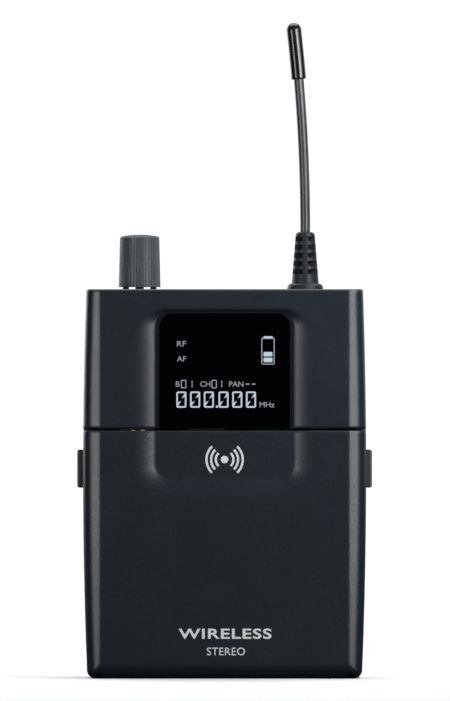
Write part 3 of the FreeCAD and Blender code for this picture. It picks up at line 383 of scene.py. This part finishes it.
def disc(cx, cz, radius, steps=24):
    """Loop of a circle."""
    return [(cx + radius * math.cos(2 * math.pi * k / steps),
             cz + radius * math.sin(2 * math.pi * k / steps)) for k in range(steps)]


def raised(name, loops, y, thick=PRINT_THICK):
    """A thin layer of closed loops just in front of a face at depth y."""
    mesh = outlines(name, loops, thick)
    for v in mesh.vertices:
        v.co *= MM
    mesh.transform(FACING)
    mesh.transform(Matrix.Translation((0, y - thick * MM / 2, 0)))
    return mesh


def words(name, text, x, z, height, y, width=None, bold=0.0, spacing=1.0, left=None):
    """Text of a given height standing on z, centred on x or starting from left."""
    mesh = lettering(name, text, PRINT_THICK, bold, spacing)
    return stand(mesh, x, z, y - PRINT_THICK * MM / 2, width, height, left)


def wrapped(mesh, centre, radius):
    """Bend flat print that stands at depth 0 round an upright cylinder, on its front."""
    for v in mesh.vertices:
        turn = v.co.x / radius
        out = radius - v.co.y
        v.co = Vector((centre.x + out * math.sin(turn), centre.y - out * math.cos(turn), v.co.z))
    return mesh


def shaded(form, name, sharp=32.0):
    """Mesh of a bmesh, smooth apart from its sharp edges."""
    bmesh.ops.recalc_face_normals(form, faces=form.faces)
    for face in form.faces:
        face.smooth = True
    for edge in form.edges:
        edge.smooth = edge.calc_face_angle(0.0) < math.radians(sharp)
    mesh = bpy.data.meshes.new(name)
    form.to_mesh(mesh)
    form.free()
    return mesh


def lathe(profile, steps=48):
    """Form of (radius, height) points in millimetres turned about Z; its ends are on the axis."""
    form = bmesh.new()
    rings = []
    for radius, height in profile:
        count = steps if radius else 1
        rings.append([form.verts.new((radius * MM * math.cos(2 * math.pi * k / count),
                                      radius * MM * math.sin(2 * math.pi * k / count),
                                      height * MM)) for k in range(count)])
    skin(form, rings, steps)
    return form


def skin(form, rings, steps):
    """Faces between rings of vertices; a ring of one vertex is a point."""
    for low, high in zip(rings, rings[1:]):
        for k in range(steps):
            after = (k + 1) % steps
            corners = (low[k % len(low)], low[after % len(low)],
                       high[after % len(high)], high[k % len(high)])
            form.faces.new(list(dict.fromkeys(corners)))


def carve(mesh, cutter):
    """Mesh with another cut out of it."""
    holder, tool = (bpy.data.objects.new(m.name, m) for m in (mesh, cutter))
    for thing in (holder, tool):
        bpy.context.scene.collection.objects.link(thing)
    change = holder.modifiers.new("carve", "BOOLEAN")
    change.operation = "DIFFERENCE"
    change.solver = "EXACT"
    change.object = tool
    bpy.context.view_layer.update()
    made = bpy.data.meshes.new_from_object(holder.evaluated_get(bpy.context.evaluated_depsgraph_get()))
    bpy.data.objects.remove(holder)
    bpy.data.objects.remove(tool)
    return made


def islands(node):
    """The (lowest, highest) corners of each separate solid of a node."""
    mesh = NODES[node].data
    keys = [tuple(round(c, 6) for c in v.co) for v in mesh.vertices]
    parent = {key: key for key in keys}

    def root(key):
        while parent[key] != key:
            key = parent[key]
        return key

    for edge in mesh.edges:
        first, second = (root(keys[v]) for v in edge.vertices)
        parent[first] = second
    groups = {}
    for key in parent:
        groups.setdefault(root(key), []).append(key)
    return [(Vector(map(min, zip(*group))), Vector(map(max, zip(*group))))
            for group in sorted(groups.values())]


def joined(name, meshes):
    """One mesh of several."""
    form = bmesh.new()
    for mesh in meshes:
        form.from_mesh(mesh)
    return shaded(form, name)


# Display

lens_low, lens_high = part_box("display_lens")
glass_y = lens_low.y
DIGIT = {"width": 2.28, "height": 3.68, "line": 0.36, "pitch": 3.1, "left": -10.9, "low": 61.2}
DIGIT_COUNT = 6
DIGITS_BEFORE_POINT = 3
POINT = {"before": 0.38, "after": 0.1, "height": 0.5, "corner": 0.12, "room": 0.22}
# name, text, left edge, base line, width
READINGS = (
    ("rf", "RF", -10.75, 75.05, 2.05),
    ("af", "AF", -10.75, 71.65, 2.05),
    ("unit", "MHz", 7.9, 61.3, 3.35),
    ("bank", "B", -11.0, 65.95, 0.85),
    ("channel", "CH", -5.5, 65.95, 2.25),
    ("pan", "PAN", 1.0, 65.95, 3.25),
)
READING_HEIGHT = 1.2
SMALL_ZERO = {"low": 65.6, "width": 1.2, "height": 1.9, "line": 0.2}
SMALL_ONE = {"width": 0.2, "strokes": ((65.85, 66.5), (66.62, 67.3)), "corner": 0.08}
DASH = {"low": 66.42, "high": 66.68, "width": 0.85, "corner": 0.1}
GAUGE_BAR = {"left": 8.8, "right": 10.8, "height": 1.0, "corner": 0.2}


def zero(left, low, width, height, line, slash=True):
    """Loops of a display zero; its slash is two short strokes that stop short of each other."""
    loops = [
        round_box(left, low, left + width, low + height, line * 1.15),
        round_box(left + line, low + line, left + width - line, low + height - line, line * 0.5),
    ]
    if slash:
        mid_x = left + width / 2
        mid_z = low + height / 2
        for side in (-1, 1):
            tip_x = mid_x + side * 0.06
            tip_z = mid_z + side * 0.26
            far_x = mid_x + side * (width / 2 - line * 0.9)
            far_z = mid_z + side * (height / 2 - line * 2.1)
            loops.append([(tip_x, tip_z), (far_x - side * 0.05, far_z + side * 0.35),
                          (far_x, far_z - side * 0.4)])
    return loops


def show(name, mesh, look=LIT):
    """A lit part of the display."""
    return add(name, mesh, look, "case")


digits = []
x = DIGIT["left"]
for place in range(DIGIT_COUNT):
    if place == DIGITS_BEFORE_POINT:
        digits.append([round_box(x - POINT["before"], DIGIT["low"], x + POINT["after"],
                                 DIGIT["low"] + POINT["height"], POINT["corner"])])
        x += POINT["room"]
    digits.append(zero(x, DIGIT["low"], DIGIT["width"], DIGIT["height"], DIGIT["line"]))
    x += DIGIT["pitch"]
for index, loops in enumerate(digits):
    ring = loops[:2] if len(loops) > 1 else loops
    show("display_digit_%d" % index, raised("digit", ring, glass_y))
    for number, stroke in enumerate(loops[2:]):
        show("display_digit_%d_slash_%d" % (index, number), raised("slash", [stroke], glass_y))

for name, text, left, low, width in READINGS:
    show("display_" + name, words(name, text, 0, low, READING_HEIGHT, glass_y, width, left=left), FAINT)
for index, left in enumerate((-9.85, -2.95)):
    loops = zero(left, slash=False, **SMALL_ZERO)
    show("display_small_%d" % index, raised("small", loops, glass_y), FAINT)
for index, left in enumerate((-7.45, -0.75)):
    loops = [round_box(left, low, left + SMALL_ONE["width"], high, SMALL_ONE["corner"])
             for low, high in SMALL_ONE["strokes"]]
    show("display_bar_%d" % index, raised("bar", loops, glass_y), FAINT)
for index, left in enumerate((4.75, 6.15)):
    loops = [round_box(left, DASH["low"], left + DASH["width"], DASH["high"], DASH["corner"])]
    show("display_dash_%d" % index, raised("dash", loops, glass_y), FAINT)
show("display_battery_frame", raised("battery", [
    [(8.55, 70.95), (11.05, 70.95), (11.3, 71.2), (11.3, 76.75), (11.0, 77.1), (8.6, 77.1),
     (8.3, 76.75), (8.3, 71.2)],
    [(8.52, 71.17), (11.08, 71.17), (11.08, 76.75), (8.52, 76.75)],
], glass_y), FAINT)
# The cap overlaps the frame, so it lies a hair in front of it.
show("display_battery_cap", raised("cap", [round_box(8.8, 76.95, 10.85, 77.35, 0.12)],
                                   glass_y - 0.004 * MM))
for index, low in enumerate((71.5, 72.8)):
    loops = [round_box(GAUGE_BAR["left"], low, GAUGE_BAR["right"], low + GAUGE_BAR["height"],
                       GAUGE_BAR["corner"])]
    show("display_battery_bar_%d" % index, raised("level", loops, glass_y))

# Dark ring round the window, painted shade of the step between the bank and the window


def arch(half, low, top, corner, steps=8):
    """Points up the left side, over round corners and down the right side."""
    points = [(-half, low)]
    for cx, start in ((-half + corner, 180), (half - corner, 90)):
        for step in range(steps + 1):
            angle = math.radians(start - 90 * step / steps)
            points.append((cx + corner * math.cos(angle), top - corner + corner * math.sin(angle)))
    return points + [(half, low)]


door_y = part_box("battery_door")[0].y
RECESS_DEPTH = 0.9
recess_y = door_y + RECESS_DEPTH * MM
SHADE_RING_SIDE = 0.85
SHADE_RING_TOP = 0.5
SHADE_RING_THICK = 0.03
SHADE_RING_CLEARANCE = 0.03
SHADE_RING_CORNERS = (3.4, 2.95)
lens_half = lens_high.x / MM + SHADE_RING_CLEARANCE
lens_top = lens_high.z / MM + SHADE_RING_CLEARANCE
seam = lens_low.z / MM
shade_ring = arch(lens_half + SHADE_RING_SIDE, seam, lens_top + SHADE_RING_TOP, SHADE_RING_CORNERS[0])
shade_ring += arch(lens_half, seam, lens_top, SHADE_RING_CORNERS[1])[::-1]
# The ring is a thin dark sheet on the recess floor: painted shade.
add("window_shade_ring", raised("shade_ring", [shade_ring], recess_y, SHADE_RING_THICK), SHADE_RING, "case")

# Printing on the door

MARK_Z = 49.5
MARK_DOT = 0.85
WAVES = (2.0, 3.05, 4.1)
WAVE_WIDTH = 0.5
WAVE_HALF_ANGLE = 46


def print_on(name, mesh):
    """White print on the door."""
    return add(name, mesh, INK, "door")


print_on("door_mark_dot", raised("dot", [disc(0, MARK_Z, MARK_DOT)], recess_y))
for side, turn in (("left", 180), ("right", 0)):
    for index, radius in enumerate(WAVES):
        loops = [arc_band(0, MARK_Z, radius, WAVE_WIDTH, turn - WAVE_HALF_ANGLE, turn + WAVE_HALF_ANGLE)]
        print_on("door_mark_%s_%d" % (side, index), raised("wave", loops, recess_y))
print_on("door_word", words("word", "WIRELESS", 0.1, 9.0, height=2.35, y=door_y, width=21.0,
                            bold=0.022, spacing=1.1))
print_on("door_small_word", words("small_word", "STEREO", 0.3, 5.3, height=1.75, y=door_y, width=8.6,
                                  spacing=1.05))

# Icons on the control panel

panel_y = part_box("control_panel")[0].y
ICON_X = 8.6
SET_HEIGHT = 1.5
ARROW_HALF_WIDTH = 1.25


def icon(name, mesh):
    """White print on the control panel."""
    return add(name, mesh, INK, "case")


def key_height(node):
    """Height of the middle of a key, in millimetres."""
    low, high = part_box(node)
    return (low.z + high.z) / 2 / MM


at = key_height("power_button")
icon("icon_power_ring", raised("ring", [arc_band(ICON_X, at, 1.2, 0.34, 125, 415, 30)], panel_y))
icon("icon_power_bar", raised("bar", [round_box(ICON_X - 0.17, at + 0.35, ICON_X + 0.17,
                                                at + 1.75, 0.15)], panel_y))
at = key_height("set_button")
icon("icon_set", words("set", "SET", ICON_X, at - SET_HEIGHT / 2, SET_HEIGHT, panel_y, width=3.6))
for node, rise in (("down_button", -1), ("up_button", 1)):
    at = key_height(node)
    foot = at - rise * 0.95
    loop = [(ICON_X - ARROW_HALF_WIDTH, foot), (ICON_X, at + rise * 1.1), (ICON_X + ARROW_HALF_WIDTH, foot)]
    icon("icon_" + node, raised("arrow", [loop], panel_y))

# Foam pad in the door

PAD_CORNER = 0.8


def foam_pad(low, high):
    """Closed pillow: flat where it is glued, crowned behind, its sides drawn in a little."""
    deep = (high.y - low.y) / MM
    # How far each layer is drawn in, and how far it stands from the door.
    layers = ((0.3, 0.0), (0.0, 0.35), (0.22, deep * 0.5), (0.1, deep * 0.72), (0.35, deep * 0.86),
              (0.95, deep * 0.93), (2.2, deep * 0.97), (4.5, deep * 0.99), (7.0, deep))
    form = bmesh.new()
    rings = []
    for inset, rise in layers:
        loop = round_box(low.x / MM + inset, low.z / MM + inset, high.x / MM - inset,
                         high.z / MM - inset, PAD_CORNER, 6)
        rings.append([form.verts.new((x * MM, low.y + rise * MM, z * MM)) for x, z in loop])
    skin(form, rings, len(rings[0]))
    form.faces.new(rings[0])
    form.faces.new(rings[-1])
    return shaded(form, "foam_pad", 60.0)


pad = add("foam_pad", foam_pad(*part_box("door_pad")), LOOKS["foam"], "door")
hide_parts("door_pad")

# Battery cells, each turned from profiles of (radius, height above its negative end)

CELL_RADIUS = 7.25
FOIL_RADIUS = 7.265
WRAP = ((0, 0.3), (5.95, 0.3), (6.15, 0.08), (6.8, 0.0), (7.15, 0.2), (CELL_RADIUS, 0.6), (CELL_RADIUS, 48.4),
        (7.15, 49.0), (6.8, 49.35), (6.1, 49.4), (5.8, 49.2), (5.6, 49.0), (0, 49.0))
CAN_END = ((0, 0.02), (4.8, 0.02), (5.1, 0.14), (5.93, 0.16), (5.93, 0.34), (0, 0.34))
CAN_TOP = ((0, 48.9), (5.75, 48.9), (5.7, 49.12), (3.7, 49.18), (3.2, 49.4), (2.78, 49.5), (2.7, 50.2),
           (2.55, 50.42), (2.2, 50.5), (0, 50.5))
FOIL = ((0, 31.0), (7.2, 31.0), (FOIL_RADIUS, 31.05), (FOIL_RADIUS, 47.6), (7.2, 47.65), (0, 47.65))
# name, text, height of its middle above the cell's middle, size
CELL_MARKS = (("plus", "+", 17.0, 3.0), ("minus", "-", -20.0, 0.9), ("volts", "1.5 V", -6.0, 2.6),
              ("kind", "AA", -1.5, 3.4))
FOIL_LOOK = metal("cell_foil", (0.62, 0.33, 0.13), (0.5, 0.25, 0.09), (0.22, 0.34), (1.0, 1.0, 40.0))


def cell(node, upright):
    """A wrapped cell: can ends, a foil band at the positive end and its printed marks."""
    low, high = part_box(node)
    centre = (low + high) / 2
    turn = Matrix.Identity(4) if upright else Matrix.Rotation(math.pi, 4, "X")
    foot = Vector((centre.x, centre.y, low.z if upright else high.z))
    place = Matrix.Translation(foot) @ turn
    for part, profile, look, slot in (
            ("wrap", WRAP, LOOKS["cell_wrap"], "cell_wrap"),
            ("foil", FOIL, FOIL_LOOK, "cell_wrap"),
            ("can_end", CAN_END, LOOKS["contact_metal"], "contact_metal"),
            ("can_top", CAN_TOP, LOOKS["contact_metal"], "contact_metal")):
        mesh = shaded(lathe(profile, 64), node + "_" + part)
        mesh.transform(place)
        piece = add(node + "_" + part, mesh, look, "case")
        if part == "wrap":
            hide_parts(node)
    for mark, text, offset, size in CELL_MARKS:
        base = centre.z / MM + (offset if upright else -offset) - size / 2
        mesh = wrapped(words(mark, text, 0, base, size, 0.0), centre, FOIL_RADIUS * MM)
        add(node + "_" + mark, mesh, INK, "case")


cell("battery_cell_left", True)
cell("battery_cell_right", False)

# Case screws

HEAD = 1.2
HEAD_EDGE = 0.65
CROWN = 0.55
DRIVE_ARM = 1.15
DRIVE_HALF_WIDTH = 0.27
# Share of the drive's full size, and height above the head's seat, at its bottom and its mouth.
DRIVE = ((0.62, 0.34), (1.0, 1.5))


def screw(low, high):
    """Pan head screw with a cross recess; its head faces the back."""
    long = (high.y - low.y) / MM
    radius = (high.x - low.x) / 2 / MM
    seat = long - HEAD
    profile = [(0, 0), (0.5, 0.05), (0.85, 0.5), (0.85, seat), (radius, seat), (radius, seat + HEAD_EDGE)]
    for degrees in (20, 40, 60, 75):
        angle = math.radians(degrees)
        profile.append((radius * math.cos(angle), seat + HEAD_EDGE + CROWN * math.sin(angle)))
    profile.append((0, long))
    form = bmesh.new()
    rings = []
    for share, rise in DRIVE:
        arm = DRIVE_ARM * share
        half = DRIVE_HALF_WIDTH * share
        corner = [(arm, -half), (arm, half), (half, half)]
        loop = []
        for quarter in range(4):
            turn = Matrix.Rotation(math.radians(90 * quarter), 2)
            loop += [turn @ Vector(point) for point in corner]
        rings.append([form.verts.new((x * MM, y * MM, (seat + rise) * MM)) for x, y in loop])
    skin(form, rings, len(rings[0]))
    form.faces.new(rings[0])
    form.faces.new(rings[-1])
    mesh = carve(shaded(lathe(profile, 40), "screw"), shaded(form, "drive"))
    middle = (low + high) / 2
    # The crosses on the left and on the right have stopped at different angles.
    driven = Matrix.Rotation(math.radians(17 + 800 * middle.x), 4, "Z")
    mesh.transform(Matrix.Translation((middle.x, low.y, middle.z)) @ Matrix.Rotation(-math.pi / 2, 4, "X")
                   @ driven)
    return mesh


screws = joined("case_screw_heads", [screw(*ends) for ends in islands("case_screws")])
screws = add("case_screw_heads", screws, LOOKS["screw_steel"], "case")
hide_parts("case_screws")

# Latch springs

# The corner of the spring's box, lowest or highest, that is at its fixed end.
for side, inward in (("left", 1), ("right", 0)):
    node = "latch_spring_" + side
    coil = add(node + "_coil", NODES[node].data.copy(), LOOKS["steel"], "door")
    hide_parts(node)
    low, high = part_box(node)
    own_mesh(coil)

# Camera: level, square to the front, with a long lens that frames VIEW_HEIGHT at the plane PLANE_Y

VIEW_HEIGHT = 158.65 * MM
EYE_X = 0.09 * MM
EYE_Z = FLOOR_Z + 74.13 * MM
LENS = 800.0
SENSOR = 36.0
PLANE_Y = -4.0 * MM

camera = bpy.data.objects.new("camera", bpy.data.cameras.new("camera"))
bpy.context.scene.collection.objects.link(camera)
camera.data.lens = LENS
camera.data.sensor_width = SENSOR
distance = VIEW_HEIGHT * LENS / SENSOR
camera.location = (EYE_X, PLANE_Y - distance, EYE_Z)
camera.rotation_euler = (math.radians(90), 0, 0)
camera.data.clip_start = distance * 0.1
camera.data.clip_end = distance * 10
bpy.context.scene.camera = camera

# Stage and light, in metres

FLOOR_REACH = 0.3
PANEL_REACH = 0.45
COOL = (0.97, 0.985, 1.0)
BACKDROP_LIGHT = 1.05
ROOM_LIGHT = 0.01


def ground(reach):
    """Pale square floor under the object."""
    mesh = bpy.data.meshes.new("floor")
    form = bmesh.new()
    corners = [(-reach, -reach), (reach, -reach), (reach, reach), (-reach, reach)]
    form.faces.new([form.verts.new((x, y, FLOOR_Z)) for x, y in corners])
    form.to_mesh(mesh)
    form.free()
    plane = bpy.data.objects.new("floor", mesh)
    bpy.context.scene.collection.objects.link(plane)
    look = Finish("floor")
    look.set(Base_Color=look.blend(look.noise(60.0, 3.0), (0.83, 0.83, 0.84), (0.85, 0.85, 0.86)),
             Roughness=0.9, Specular_IOR_Level=0.1)
    mesh.materials.append(look.material)
    # The object's faces are lit by the panels alone.
    plane.visible_diffuse = False
    plane.visible_glossy = False


ground(FLOOR_REACH)


def lamp(name, place, aim, width, height, radiance, tint=(1.0, 1.0, 1.0)):
    """A rectangular light of even radiance, hidden from the camera, facing a point."""
    data = bpy.data.lights.new(name, "AREA")
    data.shape = "RECTANGLE"
    data.size = width
    data.size_y = height
    data.energy = math.pi * width * height * radiance
    data.color = tint
    light = bpy.data.objects.new(name, data)
    bpy.context.scene.collection.objects.link(light)
    light.location = place
    light.rotation_mode = "QUATERNION"
    light.rotation_quaternion = (Vector(aim) - Vector(place)).to_track_quat("-Z", "Y")
    light.visible_camera = False


def side_panel(name, azimuths, heights, radiance):
    """An upright panel beside the object. Azimuth 0 is in front, positive to the right."""
    middle = math.radians(sum(azimuths) / 2)
    width = 2 * PANEL_REACH * math.tan(math.radians(azimuths[1] - azimuths[0]) / 2)
    z = FLOOR_Z + sum(heights) / 2
    place = (math.sin(middle) * PANEL_REACH, -math.cos(middle) * PANEL_REACH, z)
    lamp(name, place, (0, 0, z), width, heights[1] - heights[0], radiance, COOL)


# The front panels show in the case's creases and in the banks round its window.
side_panel("left_panel", azimuths=(-47, -29), heights=(0.005, 0.2), radiance=7.4)
side_panel("right_panel", azimuths=(27, 48), heights=(0.005, 0.2), radiance=8.4)
# The rim panels edge the sides, the knob and the antenna from behind.
side_panel("left_rim", azimuths=(-165, -115), heights=(0.05, 0.4), radiance=3.0)
side_panel("right_rim", azimuths=(115, 165), heights=(0.05, 0.4), radiance=0.9)
# A small key light for the knob, the boot and the top edge, and a wide one that whitens the floor.
lamp("key_panel", place=(0.095, -0.075, 0.155), aim=(0.02, 0, 0.075), width=0.08, height=0.08,
     radiance=8.0, tint=COOL)
lamp("top_panel", place=(0, 0.35, 0.9), aim=(0, 0.35, 0), width=1.0, height=1.0, radiance=3.5)

# World: bright to the camera, dim to the object

world = bpy.data.worlds.new("studio")
bpy.context.scene.world = world
world.use_nodes = True
sky = world.node_tree
backdrop = sky.nodes["Background"]
backdrop.inputs["Color"].default_value = (1.0, 1.0, 1.0, 1.0)
backdrop.inputs["Strength"].default_value = BACKDROP_LIGHT
room = sky.nodes.new("ShaderNodeBackground")
room.inputs["Color"].default_value = (0.95, 0.97, 1.0, 1.0)
room.inputs["Strength"].default_value = ROOM_LIGHT
path = sky.nodes.new("ShaderNodeLightPath")
choose = sky.nodes.new("ShaderNodeMixShader")
sky.links.new(path.outputs["Is Camera Ray"], choose.inputs[0])
sky.links.new(room.outputs[0], choose.inputs[1])
sky.links.new(backdrop.outputs[0], choose.inputs[2])
sky.links.new(choose.outputs[0], sky.nodes["World Output"].inputs["Surface"])

bpy.context.scene.view_settings.view_transform = "Standard"
